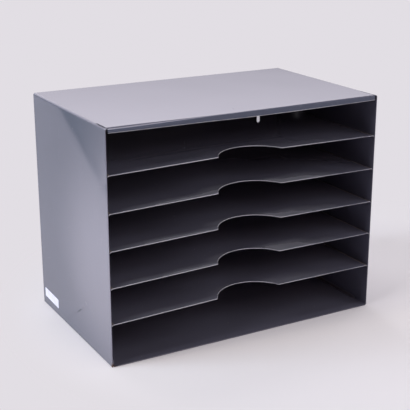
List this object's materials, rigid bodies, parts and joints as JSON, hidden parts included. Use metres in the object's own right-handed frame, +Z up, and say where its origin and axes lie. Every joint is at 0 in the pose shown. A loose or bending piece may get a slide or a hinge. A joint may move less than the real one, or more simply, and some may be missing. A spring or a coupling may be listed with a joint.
{
  "type": "filing tray",
  "caption": "Open-fronted box of painted sheet steel with level notched shelves, for sorting papers flat on a desk or hung on a wall.",
  "frame": {"origin": "middle of the base, on the surface that the tray stands on", "axes": "+X to the right, the open front faces -Y, +Z up"},
  "size_m": [0.3682, 0.222, 0.283],
  "materials": {
    "shell_enamel": "glossy blue-grey stoving enamel on sheet steel",
    "shelf_enamel": "glossy blue-grey stoving enamel on sheet steel, worn bright at the front edges",
    "label_film": "blank white self-adhesive film"
  },
  "bodies": {
    "root": {"shell": "shell_enamel", "back_panel": "shell_enamel", "shelf_1": "shelf_enamel", "shelf_2": "shelf_enamel", "shelf_3": "shelf_enamel", "shelf_4": "shelf_enamel", "shelf_5": "shelf_enamel", "label": "label_film"}
  },
  "joints": []
}
